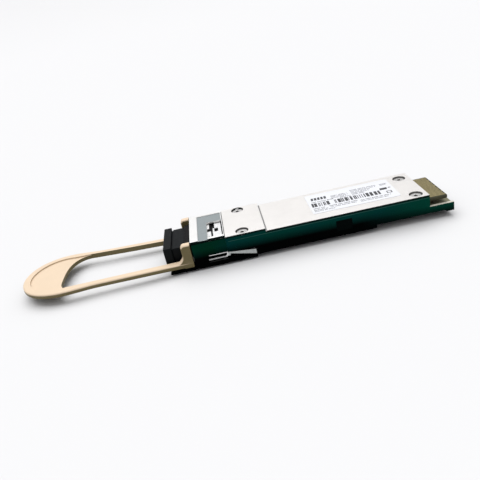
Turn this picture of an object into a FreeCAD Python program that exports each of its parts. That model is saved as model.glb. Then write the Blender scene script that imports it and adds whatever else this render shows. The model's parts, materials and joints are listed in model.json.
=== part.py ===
import FreeCAD, Part
import math
import os

# Pluggable optical transceiver module with a pull tab and a dust plug.
# Millimetres. +X runs along the module from the pull tab to the rear card edge,
# +Y across it, +Z up. The design stations below are measured from the front face
# of the module; save() moves the origin to the middle of the overall length, on
# the bottom plane.
Vec = FreeCAD.Vector
X_AXIS = Vec(1, 0, 0)
Y_AXIS = Vec(0, 1, 0)
Z_AXIS = Vec(0, 0, 1)

# --- driving dimensions: module body ---------------------------------------
HALF_W = 9.175            # half of the standard 18.35 mm module width
REAR_X = 72.5             # rear end of the tray
FRONT_X = -0.5            # front face of the die-cast side walls
LIP_X = -7.8              # front end of the bottom lip, under the port
LIP_TOP = 1.5
NOSE_REAR_X = 8.9         # rear edge of the nose
STEP_X = 20.2             # step from the front plate down to the label deck
COVER_END_X = 65.75       # rear edge of the top cover
PLATE_TOP = 8.5
DECK_TOP = 7.8
NOSE_TOP = 8.88
STEP_GROOVE_W = 0.42
WALL = 0.95
REBATE = (0.2, 0.22)      # depth and height of the rebate under the cover's edge
FLOOR_TOP = 1.1
REAR_FLOOR_TOP = 2.4      # floor where the belly is raised
TRAY_FLOOR_TOP = 3.6
COVER_LIP = 0.35          # thickness of the cover where it lies on the walls
COVER_CORE = 1.05         # thickness of the cover between the walls
NOSE_COVER_X = -0.7       # front face of the bright nose cover
TRAY_TOP = 4.2            # height of the tray walls behind the cover

# Cross-section of the base: stations along X with the height of the side's lower
# edge, the half width of the flat belly and the height of the belly.
BASE_SECTIONS = (
    (LIP_X, 16.8, 0.6, 8.0, 0.0),
    (16.8, 50.6, 1.35, 6.6, 0.0),
    (50.6, REAR_X, 2.25, 6.6, 0.9),
)
FOOT_X = 70.35
FOOT_BOTTOM = 1.75

# --- driving dimensions: port, latch slider, dust plug ----------------------
PORT_Z = 4.6              # height of the optical axis
PORT_HALF_W = 5.9
PORT_HALF_H = 2.4
PORT_WALL = 0.6
PORT_MOUTH_X = -2.5
PORT_REAR_X = 9.0
SLIDER_T = 0.4            # stainless sheet of the slider
ARM_Y = 8.0               # inner face of the slider's side arms
ARM_Z = (2.75, 4.25)
ARM_END_X = 9.1
CHANNEL_Y = (7.85, 8.6)   # channel in the side wall that the arm runs in
CHANNEL_Z = (1.6, 4.45)
CHANNEL_END_X = 9.3
SLOT_TOP = 4.05           # upper edge of the slot and the pocket in the wall's skin
BRIDGE_Z = 7.74
BRIDGE_T = 0.26
BRIDGE_TOP = BRIDGE_Z + BRIDGE_T
BRIDGE_X = (3.0, 8.3)
WING_END_X = 16.7
SPRING_Y = 7.3            # axis of each return spring
SPRING_Z = 5.95
SPRING_FRONT_X = 1.6      # front wall of each spring's pocket

# --- driving dimensions: nose cover -------------------------------------------
NOSE_HALF_W = 8.6
NOSE_RECESS_X = 1.55
NOSE_RECESS_Y = 7.5
NOSE_RECESS_DEPTH = 0.25
WINDOW_X = (4.3, 8.7)
WINDOW_Y = (-7.6, 2.5)
SEAM_W = 0.22             # fine seam between the nose and the body
SIDE_REST_X = (39.5, 44.0)
SIDE_REST_Z = (2.8, 6.0)

# --- driving dimensions: pull tab -------------------------------------------
TAB_T = 1.5
TAB_TIP_R = 11.35         # outer radius of the rounded tip
TAB_TIP_X = -50.9
TAB_ROOT_X = -0.9
TAB_ROOT_BOTTOM = 1.8
TAB_TILT = 0.9            # degrees that the tab rises towards its tip
RIM = 2.1                 # width of the arms and of the rim round the thumb pad
PAD_END_X = (-32.6, -37.2)   # ends of the pad's slanted edge on the +Y and the -Y arm
BLOCK_Y = (7.55, 9.5)
BLOCK_X = (-3.5, TAB_ROOT_X)
BLOCK_TOP = 8.75
BLOCK_FILLET = 2.5        # hollow fillet between an arm and its block
BLOCK_CORNER = 1.0        # round of the block's top front corner
BLOCK_ROUND = 0.45        # round of its long edges

# --- driving dimensions: fasteners, board, optics ---------------------------
FRONT_SCREW = (13.9, 7.18)
REAR_SCREW_X = 62.8
REAR_SCREW_Y = (-6.8, 5.95)
SCREW_HEAD_R = 1.58
SCREW_HEAD_H = 0.45
SCREW_SINK = 0.4          # how far the head's top lies under the cover's face
SOCKET_R = 0.55           # corner radius of the six-sided drive socket
SOCKET_DEPTH = 0.36
SCREW_SHANK_R = 0.6
SCREW_LENGTH = 4.6
COUNTERBORE_R = 1.85
POST_R = 1.45

BOARD_X = (22.0, 71.55)
BOARD_HALF_W = 7.4
BOARD_BOTTOM = 4.84
BOARD_T = 1.0
BOARD_TOP = BOARD_BOTTOM + BOARD_T
CONTACT_COUNT = 19
CONTACT_PITCH = 0.72
CONTACT_W = 0.46
CONTACT_T = 0.05

LABEL_X = (34.3, 59.2)
LABEL_Y = (-5.7, 7.5)
LABEL_T = 0.08

FERRULE_X = (8.4, 16.4)
FERRULE_HALF_W = 3.2
FERRULE_HALF_H = 1.25
PIN_R = 0.35
PIN_Y = 2.3
PIN_ROOT_R = 0.65         # thicker root of each pin, held in the ferrule
PIN_FREE = 2.1

ORIGIN_X = (TAB_TIP_X + REAR_X) / 2.0


# --- helpers -----------------------------------------------------------------
def box(x, y, z):
    """Box between pairs of limits."""
    return Part.makeBox(x[1] - x[0], y[1] - y[0], z[1] - z[0], Vec(x[0], y[0], z[0]))


def wide_box(x, half_w, z):
    """Box centred on the module's middle plane."""
    return box(x, (-half_w, half_w), z)


def rod(radius, start, axis, length):
    return Part.makeCylinder(radius, length, start, axis)


def plate_xz(points, y):
    """Closed outline in X and Z, made solid between two Y values."""
    outline = Part.makePolygon([Vec(px, y[0], pz) for px, pz in points + points[:1]])
    return Part.Face(outline).extrude(Vec(0, y[1] - y[0], 0))


def bar_yz(points, x):
    """Closed outline in Y and Z, made solid between two X values."""
    outline = Part.makePolygon([Vec(x[0], py, pz) for py, pz in points + points[:1]])
    return Part.Face(outline).extrude(Vec(x[1] - x[0], 0, 0))


def mirrored(shape):
    return shape.mirror(Vec(0, 0, 0), Y_AXIS)


def both_sides(shape):
    return [shape, mirrored(shape)]


def join(shapes):
    result = shapes[0].multiFuse(shapes[1:]) if len(shapes) > 1 else shapes[0]
    return result.removeSplitter()


def round_edges(shape, radius, choose):
    """Fillet the edges whose middle point passes the test."""
    edges = [e for e in shape.Edges if choose(e, e.valueAt((e.FirstParameter + e.LastParameter) / 2))]
    return shape.makeFillet(radius, edges)


def along(edge, axis):
    """True for a straight edge that runs along the axis."""
    if edge.Curve.TypeId != "Part::GeomLine":
        return False
    return abs(edge.Curve.Direction.dot(axis)) > 0.999


def save(name, shapes):
    """Write one node; a list becomes a group of separate solids."""
    shape = Part.makeCompound(shapes) if isinstance(shapes, list) else shapes
    shape = shape.translated(Vec(-ORIGIN_X, 0, 0))
    shape.exportStep("parts/%s.step" % name)
    print("%-24s solids %2d  valid %s" % (name, len(shape.Solids), shape.isValid()))


def head_seat(top):
    """Height at which a screw's head sits, under the face it sinks into."""
    return top - SCREW_SINK - SCREW_HEAD_H


def screw_axes():
    """Centre of each cover screw and the height of the face it sinks into."""
    front = [(FRONT_SCREW[0], side * FRONT_SCREW[1], PLATE_TOP) for side in (-1, 1)]
    return front + [(REAR_SCREW_X, y, DECK_TOP) for y in REAR_SCREW_Y]


# --- die-cast base -----------------------------------------------------------
def base_section(edge_z, belly_half_w, belly_z, top):
    right = [(belly_half_w, belly_z), (HALF_W, edge_z), (HALF_W, top)]
    left = [(-y, z) for y, z in reversed(right)]
    return right + left


def latch_recess():
    """Side pocket for the slider's wing, open over its whole stroke."""
    outline = [
        (6.0, SLOT_TOP), (9.7, SLOT_TOP), (17.2, 3.25), (17.2, 1.25), (13.6, 1.25), (6.2, 2.95),
    ]
    return plate_xz(outline, (CHANNEL_Y[0], HALF_W + 1))


def arm_slot():
    """Window in the wall's skin through which the slider arm shows."""
    outline = [(3.2, 1.9), (3.65, SLOT_TOP), (CHANNEL_END_X, SLOT_TOP), (CHANNEL_END_X, 1.9)]
    return plate_xz(outline, (CHANNEL_Y[0], HALF_W + 1))


def arm_channel():
    """Channel inside the nose wall for the slider's arm and leg."""
    arm_run = box((FRONT_X - 1, CHANNEL_END_X), CHANNEL_Y, CHANNEL_Z)
    leg_run = box((0.2, NOSE_REAR_X - 0.2), CHANNEL_Y, (CHANNEL_Z[0], PLATE_TOP))
    return join([arm_run, leg_run])


def spring_pocket():
    return box((SPRING_FRONT_X, NOSE_REAR_X - 0.4), (SPRING_Y - 0.55, CHANNEL_Y[1]), (5.2, PLATE_TOP))


def lower_housing():
    blocks = []
    for x0, x1, edge_z, belly_half_w, belly_z in BASE_SECTIONS:
        blocks.append(bar_yz(base_section(edge_z, belly_half_w, belly_z, PLATE_TOP), (x0, x1)))
    blocks.append(wide_box((FOOT_X, REAR_X), HALF_W - 0.01, (FOOT_BOTTOM, 3.0)))
    body = join(blocks)

    nose_wall_top = PLATE_TOP - COVER_LIP
    deck_wall_top = DECK_TOP - COVER_LIP
    rear_x = BASE_SECTIONS[2][0]
    cuts = [
        wide_box((LIP_X - 1, FRONT_X), 20, (LIP_TOP, 20)),
        wide_box((FRONT_X - 1, STEP_X), 20, (nose_wall_top, 20)),
        wide_box((STEP_X, COVER_END_X), 20, (deck_wall_top, 20)),
        wide_box((COVER_END_X, REAR_X + 1), 20, (TRAY_TOP, 20)),
        # inside of the box behind the nose, with its higher floor at the rear
        wide_box((NOSE_REAR_X + 0.8, rear_x), HALF_W - WALL, (FLOOR_TOP, 20)),
        wide_box((rear_x - 0.1, COVER_END_X), HALF_W - WALL, (REAR_FLOOR_TOP, 20)),
        # shallow tray behind the cover, open at its end
        wide_box((COVER_END_X - 1.5, REAR_X + 1), HALF_W - WALL, (TRAY_FLOOR_TOP, 20)),
        # nose: port opening, and the gap under the nose cover for the bridge
        wide_box((FRONT_X - 1, NOSE_REAR_X + 1), PORT_HALF_W + PORT_WALL + 0.02,
                 (PORT_Z - PORT_HALF_H - PORT_WALL - 0.02, 20)),
        wide_box((FRONT_X - 1, NOSE_REAR_X - 0.2), CHANNEL_Y[1], (BRIDGE_Z - 0.15, 20)),
        # the ferrule and its ribbon pass through the nose's rear wall
        wide_box((NOSE_REAR_X - 0.5, NOSE_REAR_X + 1.5), 4.4, (2.2, 20)),
    ]
    for cut in (latch_recess(), arm_slot(), arm_channel(), spring_pocket()):
        cuts += both_sides(cut)
    # fine seam between the nose and the body on each side
    seam = box((NOSE_REAR_X, NOSE_REAR_X + SEAM_W), (HALF_W - 0.15, HALF_W + 1), (SLOT_TOP, 20))
    cuts += both_sides(seam)
    # rebate along the top of each side wall, under the cover's edge
    for x, top in (((NOSE_REAR_X, STEP_X), nose_wall_top), ((STEP_X, COVER_END_X), deck_wall_top)):
        cuts += both_sides(box(x, (HALF_W - REBATE[0], HALF_W + 1), (top - REBATE[1], top + 1)))
    # shallow rest on each side wall
    cuts += both_sides(box(SIDE_REST_X, (HALF_W - 0.12, HALF_W + 1), SIDE_REST_Z))
    body = body.cut(cuts)

    posts = []
    for x, y, top in screw_axes():
        foot = FLOOR_TOP - 0.3 if x < rear_x else REAR_FLOOR_TOP - 0.1
        post = rod(POST_R, Vec(x, y, foot), Z_AXIS, top - COVER_CORE - 0.1 - foot)
        posts.append(post.common(wide_box((x - 3, x + 3), HALF_W - 0.4, (0, 20))))
    ledges = both_sides(box((24.0, 60.6), (6.5, HALF_W - WALL + 0.1), (3.9, BOARD_BOTTOM)))
    body = join([body] + posts + ledges)
    holes = [rod(SCREW_SHANK_R, Vec(x, y, 2.8), Z_AXIS, 8) for x, y, top in screw_axes()]
    holes += [rod(COUNTERBORE_R, Vec(x, y, head_seat(top) - 0.02), Z_AXIS, 3) for x, y, top in screw_axes()]
    holes += cover_gasket()
    body = body.cut(holes).removeSplitter()
    return round_edges(body, 0.5, lambda e, m: m.x < LIP_X + 0.05 and along(e, Y_AXIS))


# --- covers ------------------------------------------------------------------
def top_cover():
    """Front plate and label deck in one casting, lying on the base's walls."""
    inner = HALF_W - WALL - 0.06
    plate_lip = wide_box((NOSE_REAR_X + 0.15, STEP_X), HALF_W, (PLATE_TOP - COVER_LIP, PLATE_TOP))
    plate_core = wide_box((NOSE_REAR_X + 1.0, STEP_X), inner, (PLATE_TOP - COVER_CORE, PLATE_TOP - 0.1))
    deck_lip = wide_box((STEP_X - 0.2, COVER_END_X), HALF_W, (DECK_TOP - COVER_LIP, DECK_TOP))
    deck_core = wide_box((STEP_X - 0.9, COVER_END_X - 0.3), inner, (DECK_TOP - COVER_CORE, DECK_TOP - 0.1))
    riser = wide_box((STEP_X - 0.9, STEP_X), inner, (DECK_TOP - 0.5, PLATE_TOP - 0.1))
    # the deck's lip is trimmed where the higher front walls stand
    trim = box((STEP_X - 1, STEP_X), (inner, HALF_W + 1), (0, PLATE_TOP - COVER_LIP))
    cover = join([plate_lip, plate_core, deck_lip, deck_core, riser]).cut(both_sides(trim))
    for x, y, top in screw_axes():
        cover = cover.cut(rod(COUNTERBORE_R, Vec(x, y, head_seat(top)), Z_AXIS, 2))
        cover = cover.cut(rod(SCREW_SHANK_R + 0.1, Vec(x, y, 0), Z_AXIS, 20))
    # fine groove at the foot of the step
    groove = wide_box((STEP_X, STEP_X + STEP_GROOVE_W), HALF_W + 1, (DECK_TOP - 0.2, DECK_TOP + 0.1))
    cover = cover.cut(groove)
    cover = cover.removeSplitter()
    return round_edges(cover, 0.12, lambda e, m: along(e, Y_AXIS) and abs(m.x - STEP_X) < 0.01
                       and m.z > PLATE_TOP - 0.01)


def nose_cover():
    """Bright cover of the nose with an L-shaped recess and a window over the slider."""
    cover = wide_box((NOSE_COVER_X, NOSE_REAR_X), NOSE_HALF_W, (PLATE_TOP - COVER_LIP, NOSE_TOP))
    recess_z = (NOSE_TOP - NOSE_RECESS_DEPTH, 20)
    recess_far = box((NOSE_RECESS_X, NOSE_REAR_X - 0.25), (WINDOW_Y[1], NOSE_RECESS_Y), recess_z)
    recess_front = box((NOSE_RECESS_X, WINDOW_X[0]), (-NOSE_HALF_W - 1, NOSE_RECESS_Y), recess_z)
    window = box(WINDOW_X, WINDOW_Y, (0, 20))
    cover = cover.cut([recess_far, recess_front, window]).removeSplitter()
    return round_edges(cover, 0.2, lambda e, m: along(e, X_AXIS) and m.z > NOSE_TOP - 0.01
                       and abs(m.y) > NOSE_HALF_W - 0.01)


def drive_socket(x, y, z):
    """Six-sided socket, open upwards."""
    corners = []
    for k in range(6):
        angle = math.radians(60 * k)
        corners.append(Vec(x + SOCKET_R * math.cos(angle), y + SOCKET_R * math.sin(angle), z))
    return Part.Face(Part.makePolygon(corners + corners[:1])).extrude(Vec(0, 0, 1))


def cover_screws():
    screws = []
    for x, y, top in screw_axes():
        head_z = head_seat(top)
        head = rod(SCREW_HEAD_R, Vec(x, y, head_z), Z_AXIS, SCREW_HEAD_H)
        head = round_edges(head, 0.15, lambda e, m: m.z > head_z + SCREW_HEAD_H - 0.01
                           and e.Curve.TypeId == "Part::GeomCircle")
        shank = rod(SCREW_SHANK_R - 0.03, Vec(x, y, head_z - SCREW_LENGTH + SCREW_HEAD_H), Z_AXIS,
                    SCREW_LENGTH - SCREW_HEAD_H + 0.1)
        screw = head.fuse(shank)
        socket = drive_socket(x, y, top - SCREW_SINK - SOCKET_DEPTH)
        screws.append(screw.cut(socket).removeSplitter())
    return screws


def cover_gasket():
    """Conductive elastomer beads in grooves on top of the base's side walls."""
    bead_top = DECK_TOP - COVER_LIP
    return both_sides(box((21.5, 60.2), (8.4, 8.8), (bead_top - 0.3, bead_top)))


def label_sheet():
    sheet = box(LABEL_X, LABEL_Y, (DECK_TOP, DECK_TOP + LABEL_T))
    return round_edges(sheet, 0.6, lambda e, m: along(e, Z_AXIS))


# --- latch slider ------------------------------------------------------------
def slider_bridge():
    """Plate across the nose, seen through the window, with its T-shaped slots."""
    bridge = wide_box(BRIDGE_X, ARM_Y + SLIDER_T, (BRIDGE_Z, BRIDGE_TOP))
    slots = [
        # broad stem, then the two ends of the crossbar, then the narrow stem
        box((4.95, 6.45), (-0.8, 3.6), (0, 20)),
        box((4.05, 5.9), (-2.5, -0.6), (0, 20)),
        box((6.35, 7.45), (-3.1, -0.9), (0, 20)),
        box((5.35, 5.85), (-6.2, -2.2), (0, 20)),
        box((4.05, 4.85), (-6.0, -5.5), (0, 20)),
    ]
    return bridge.cut(slots)


def slider_side():
    """Leg, arm and outward-bent wing on the +Y side."""
    y = (ARM_Y, ARM_Y + SLIDER_T)
    arm = box((BLOCK_X[0] + 0.8, 3.0), y, ARM_Z)
    bars = plate_xz([(2.6, 2.08), (8.5, 2.08), (ARM_END_X, 2.75), (ARM_END_X, 3.83), (2.6, 3.83)], y)
    opening = plate_xz([(3.1, 2.48), (8.2, 2.48), (8.6, 2.9), (8.6, 3.46), (3.1, 3.46)], y)
    leg = box((4.6, BRIDGE_X[1]), y, (3.5, BRIDGE_TOP))
    spring_tab = box((BRIDGE_X[1] - 0.9, BRIDGE_X[1] - 0.5), (6.85, ARM_Y + 0.1), (5.35, 6.5))
    wing_y = (HALF_W - SLIDER_T - 0.03, HALF_W - 0.03)
    jog = box((8.9, 9.5), (y[0], wing_y[1]), (ARM_Z[0], SLOT_TOP - 0.2))
    wing = plate_xz([(9.4, 3.35), (9.4, 3.8), (WING_END_X, 3.0), (WING_END_X, 1.6)], wing_y)
    return join([bars.cut(opening), arm, leg, spring_tab, jog, wing])


def slider_frame():
    return join([slider_bridge()] + both_sides(slider_side()))


def return_spring(y):
    """Compression spring between the nose's front wall and the slider's tab."""
    x0 = SPRING_FRONT_X + 0.05
    length = BRIDGE_X[1] - 0.92 - x0
    radius = 0.38
    wire_r = 0.09
    turns = 7
    pitch = (length - 2 * wire_r - 0.04) / turns
    helix = Part.makeHelix(pitch, pitch * turns, radius)
    section = Part.Wire(Part.makeCircle(wire_r, Vec(radius, 0, 0), Y_AXIS))
    coil = Part.Wire(helix).makePipeShell([section], True, True)
    coil.rotate(Vec(0, 0, 0), Y_AXIS, 90)
    coil.translate(Vec(x0 + wire_r + 0.02, y, SPRING_Z))
    return coil


# --- pull tab ----------------------------------------------------------------
def tab_outline(z):
    """Outer outline of the loop: two nearly straight arms and a rounded tip."""
    root_y = BLOCK_Y[1]
    flare = Vec(-27.0, 10.25, z)
    tip_centre_x = TAB_TIP_X + TAB_TIP_R
    quarter = TAB_TIP_R * math.sqrt(0.5)
    upper = [
        flare,
        Vec(-33.5, 10.95, z),
        Vec(tip_centre_x, TAB_TIP_R, z),
        Vec(tip_centre_x - quarter, quarter, z),
    ]
    lower = [Vec(p.x, -p.y, p.z) for p in reversed(upper)]
    curve = Part.BSplineCurve()
    curve.interpolate(Points=upper + [Vec(TAB_TIP_X, 0, z)] + lower,
                      InitialTangent=Vec(-1, 0.04, 0), FinalTangent=Vec(1, 0.04, 0))
    a = Vec(TAB_ROOT_X, root_y, z)
    b = Vec(TAB_ROOT_X, -root_y, z)
    edges = [
        Part.makeLine(b, a),
        Part.makeLine(a, flare),
        curve.toShape(),
        Part.makeLine(Vec(flare.x, -flare.y, z), b),
    ]
    return Part.Wire(edges)


def tab_opening():
    """Opening between the arms; its tip end is the slanted edge of the thumb pad."""
    z = -5
    root = (1.0, BLOCK_Y[0] - 0.3)
    waist = (-20.0, 8.1)
    far_end = Vec(PAD_END_X[0], 8.95, z)
    near_end = Vec(PAD_END_X[1], -8.9, z)
    pad_edge = Part.BSplineCurve()
    pad_edge.interpolate([far_end, Vec(-35.2, 8.2, z), Vec(-37.3, 5.9, z), Vec(-38.6, 1.3, z),
                          Vec(-38.8, -4.2, z), Vec(-38.3, -7.6, z), near_end])
    edges = [
        Part.makeLine(Vec(root[0], -root[1], z), Vec(root[0], root[1], z)),
        Part.makeLine(Vec(root[0], root[1], z), Vec(waist[0], waist[1], z)),
        Part.makeLine(Vec(waist[0], waist[1], z), far_end),
        pad_edge.toShape(),
        Part.makeLine(near_end, Vec(waist[0], -waist[1], z)),
        Part.makeLine(Vec(waist[0], -waist[1], z), Vec(root[0], -root[1], z)),
    ]
    return Part.Face(Part.Wire(edges)).extrude(Vec(0, 0, 20))


def tab_loop():
    loop = Part.Face(tab_outline(0)).extrude(Vec(0, 0, TAB_T))
    loop = round_edges(loop, 0.45, lambda e, m: m.x < TAB_ROOT_X - 0.1 and (m.z > TAB_T - 0.01 or m.z < 0.01))
    tip_centre = Vec(TAB_TIP_X + TAB_TIP_R, 0, 0)
    pad_r = TAB_TIP_R - RIM
    pad_z = (TAB_T - 0.4, TAB_T + 1.6)
    pad = rod(pad_r, tip_centre + Vec(0, 0, pad_z[0]), Z_AXIS, 2)
    # the lowered pad runs on to its slanted edge, which lies further out on the +Y side
    pad_far = box((tip_centre.x, PAD_END_X[0]), (0, pad_r - 0.25), pad_z)
    pad_near = box((tip_centre.x, PAD_END_X[1]), (0.25 - pad_r, 0), pad_z)
    pad = join([pad, pad_far, pad_near])
    loop = loop.cut([pad, tab_opening()]).removeSplitter()
    loop.rotate(Vec(TAB_ROOT_X, 0, 0), Y_AXIS, TAB_TILT)
    return loop.translated(Vec(0, 0, TAB_ROOT_BOTTOM))


def tab_block():
    """Upright block that joins one arm to the slider; a hollow fillet leads into it from the arm."""
    front, back = BLOCK_X
    foot, top = TAB_ROOT_BOTTOM, BLOCK_TOP
    sunk = foot + 0.3
    arm_top = foot + TAB_T
    tip = front - BLOCK_FILLET
    fillet_rise = BLOCK_FILLET * (1 - math.sqrt(0.5))
    corner_rise = BLOCK_CORNER * (1 - math.sqrt(0.5))

    def at(x, z):
        return Vec(x, BLOCK_Y[0], z)

    fillet = Part.Arc(at(tip, arm_top), at(front - fillet_rise, arm_top + fillet_rise),
                      at(front, arm_top + BLOCK_FILLET))
    corner = Part.Arc(at(front, top - BLOCK_CORNER), at(front + corner_rise, top - corner_rise),
                      at(front + BLOCK_CORNER, top))
    profile = [
        fillet.toShape(),
        Part.makeLine(at(front, arm_top + BLOCK_FILLET), at(front, top - BLOCK_CORNER)),
        corner.toShape(),
        Part.makeLine(at(front + BLOCK_CORNER, top), at(back, top)),
        Part.makeLine(at(back, top), at(back, foot)),
        Part.makeLine(at(back, foot), at(front, foot)),
        Part.makeLine(at(front, foot), at(front, sunk)),
        Part.makeLine(at(front, sunk), at(tip, sunk)),
        Part.makeLine(at(tip, sunk), at(tip, arm_top)),
    ]
    block = Part.Face(Part.Wire(profile)).extrude(Vec(0, BLOCK_Y[1] - BLOCK_Y[0], 0))

    def long_edge(e, m):
        on_side = min(abs(m.y - BLOCK_Y[0]), abs(m.y - BLOCK_Y[1])) < 0.01
        return on_side and m.z > arm_top and m.x < back - 0.01

    return round_edges(block, BLOCK_ROUND, long_edge)


def pull_tab():
    tab = join([tab_loop()] + both_sides(tab_block()))
    return tab.cut(slider_frame()).removeSplitter()


# --- port and optics ---------------------------------------------------------
def port_receptacle():
    """Black shroud that takes the fibre connector, with two latch hooks."""
    outer_w = PORT_HALF_W + PORT_WALL
    outer_h = PORT_HALF_H + PORT_WALL
    z = (PORT_Z - outer_h, PORT_Z + outer_h)
    shell = wide_box((PORT_MOUTH_X, PORT_REAR_X), outer_w, z)
    shell = round_edges(shell, 0.35, lambda e, m: along(e, X_AXIS))
    bore = wide_box((PORT_MOUTH_X - 1, PORT_REAR_X + 1), PORT_HALF_W,
                    (PORT_Z - PORT_HALF_H, PORT_Z + PORT_HALF_H))
    key_slot = wide_box((PORT_MOUTH_X - 1, 4.0), 1.2, (PORT_Z, PORT_Z + outer_h - 0.2))
    return shell.cut([bore, key_slot])


def latch_hook(side):
    """Spring hook inside the port that holds the connector's shoulder."""
    y_wall = side * (PORT_HALF_W - 0.02)
    y_in = side * (PORT_HALF_W - 0.5)
    y_tip = side * (PORT_HALF_W - 1.1)
    outline = [
        Vec(8.9, y_wall, 0), Vec(8.9, y_in, 0), Vec(4.6, y_in, 0), Vec(4.1, y_tip, 0),
        Vec(3.6, y_tip, 0), Vec(3.4, y_wall, 0),
    ]
    face = Part.Face(Part.makePolygon(outline + outline[:1]))
    hook = face.extrude(Vec(0, 0, 2.6))
    return hook.translated(Vec(0, 0, PORT_Z - 1.3))


def ferrule():
    block = wide_box(FERRULE_X, FERRULE_HALF_W, (PORT_Z - FERRULE_HALF_H, PORT_Z + FERRULE_HALF_H))
    shoulder = wide_box((FERRULE_X[1] - 2.5, FERRULE_X[1]), FERRULE_HALF_W + 0.5,
                        (PORT_Z - FERRULE_HALF_H - 0.4, PORT_Z + FERRULE_HALF_H + 0.4))
    body = join([block, shoulder])
    for side in (-1, 1):
        body = body.cut(rod(PIN_ROOT_R + 0.02, Vec(0, side * PIN_Y, PORT_Z), X_AXIS, 20))
    window = wide_box((11.0, 13.0), 1.5, (PORT_Z + 0.4, 20))
    ribbon_slot = wide_box((FERRULE_X[1] - 3.0, FERRULE_X[1] + 1), 1.7, (PORT_Z - 0.15, PORT_Z + 0.15))
    return body.cut([window, ribbon_slot])


def guide_pins():
    pins = []
    for side in (-1, 1):
        free = rod(PIN_R, Vec(FERRULE_X[0] - PIN_FREE, side * PIN_Y, PORT_Z), X_AXIS, PIN_FREE)
        root = rod(PIN_ROOT_R, Vec(FERRULE_X[0], side * PIN_Y, PORT_Z), X_AXIS, 5.6)
        pins.append(free.fuse(root))
    return pins


def ferrule_clamp():
    """Stamped clip that holds the ferrule's shoulder in the base."""
    x = (FERRULE_X[1] - 2.6, FERRULE_X[1] + 0.9)
    outer = wide_box(x, 5.4, (FLOOR_TOP, PORT_Z + FERRULE_HALF_H + 1.0))
    inner = wide_box((x[0] + 0.05, x[1] - 0.4), 3.75, (0, PORT_Z + FERRULE_HALF_H + 0.45))
    ribbon_gap = wide_box((x[0] - 1, x[1] + 1), 2.2, (0, PORT_Z + FERRULE_HALF_H - 0.1))
    front_gap = wide_box((x[0] - 1, x[0] + 0.5), FERRULE_HALF_W + 0.05, (0, PORT_Z + FERRULE_HALF_H + 0.05))
    return outer.cut([inner, ribbon_gap, front_gap])


def fibre_ribbon():
    """Flat ribbon that rises in an S from the ferrule to the lens block."""
    x0 = FERRULE_X[1] - 2.9
    x1 = 17.4
    x2 = 23.4
    x3 = 25.4
    rise = BOARD_TOP + 0.6 - PORT_Z
    run = x2 - x1
    radius = (run * run + rise * rise) / (4 * rise)
    half = 0.11
    mid = Vec((x1 + x2) / 2, 0, PORT_Z + rise / 2)
    angle = math.asin(run / 2 / radius)

    def skin(offset):
        r_low = radius - offset
        r_high = radius + offset
        low_c = Vec(x1, 0, PORT_Z + radius)
        high_c = Vec(x2, 0, PORT_Z + rise - radius)
        bend = mid + Vec(-math.sin(angle) * offset, 0, math.cos(angle) * offset)
        low_m = low_c + Vec(math.sin(angle / 2) * r_low, 0, -math.cos(angle / 2) * r_low)
        high_m = high_c + Vec(-math.sin(angle / 2) * r_high, 0, math.cos(angle / 2) * r_high)
        p0 = Vec(x0, 0, PORT_Z + offset)
        p1 = Vec(x1, 0, PORT_Z + offset)
        p2 = Vec(x2, 0, PORT_Z + rise + offset)
        p3 = Vec(x3, 0, PORT_Z + rise + offset)
        edges = [
            Part.makeLine(p0, p1),
            Part.Arc(p1, low_m, bend).toShape(),
            Part.Arc(bend, high_m, p2).toShape(),
            Part.makeLine(p2, p3),
        ]
        return edges, p0, p3

    lower, a0, a3 = skin(-half)
    upper, b0, b3 = skin(half)
    outline = Part.Wire(lower + [Part.makeLine(a3, b3)] + list(reversed(upper)) + [Part.makeLine(b0, a0)])
    ribbon = Part.Face(outline).extrude(Vec(0, 3.0, 0))
    return ribbon.translated(Vec(0, -1.5, 0))


def lens_block():
    x = (24.6, 29.4)
    block = wide_box(x, 2.6, (BOARD_TOP + 0.4, BOARD_TOP + 0.86))
    feet = both_sides(box((x[0] + 0.2, x[1] - 0.2), (2.0, 2.6), (BOARD_TOP + 0.2, BOARD_TOP + 0.5)))
    slot = wide_box((x[0] - 1, 25.6), 1.55, (BOARD_TOP + 0.46, BOARD_TOP + 0.74))
    mirror = [(26.6, BOARD_TOP + 1.0), (27.6, BOARD_TOP + 1.0), (26.6, BOARD_TOP + 0.6)]
    mirror_cut = plate_xz(mirror, (-1.6, 1.6))
    return join([block] + feet).cut([slot, mirror_cut])


def engine_base():
    return wide_box((24.0, 33.0), 3.4, (BOARD_TOP, BOARD_TOP + 0.2))


def chip(x, y, size, height, z=BOARD_TOP):
    """Square package with a bevelled top edge."""
    half = size / 2.0
    body = box((x - half, x + half), (y - half, y + half), (z, z + height))
    return round_edges(body, min(0.12, height / 3), lambda e, m: m.z > z + height - 0.01)


def laser_array():
    return box((26.2, 26.6), (-1.6, -0.1), (BOARD_TOP + 0.2, BOARD_TOP + 0.38))


def photodiode_array():
    return box((26.2, 26.6), (0.1, 1.6), (BOARD_TOP + 0.2, BOARD_TOP + 0.38))


def passives(length, width, height, count_x, start, pitch_x, rows):
    """Rows of two-terminal chip parts on the board."""
    solids = []
    for y in rows:
        for i in range(count_x):
            x = start + i * pitch_x
            across = (y - width / 2, y + width / 2)
            solids.append(box((x, x + length), across, (BOARD_TOP, BOARD_TOP + height)))
    return solids


def inductors():
    solids = []
    for y in (-4.6, 4.6):
        core = rod(0.9, Vec(57.5, y, BOARD_TOP), Z_AXIS, 0.8)
        base = box((56.4, 58.6), (y - 1.1, y + 1.1), (BOARD_TOP, BOARD_TOP + 0.25))
        solids.append(join([core, base]))
    return solids


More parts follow.
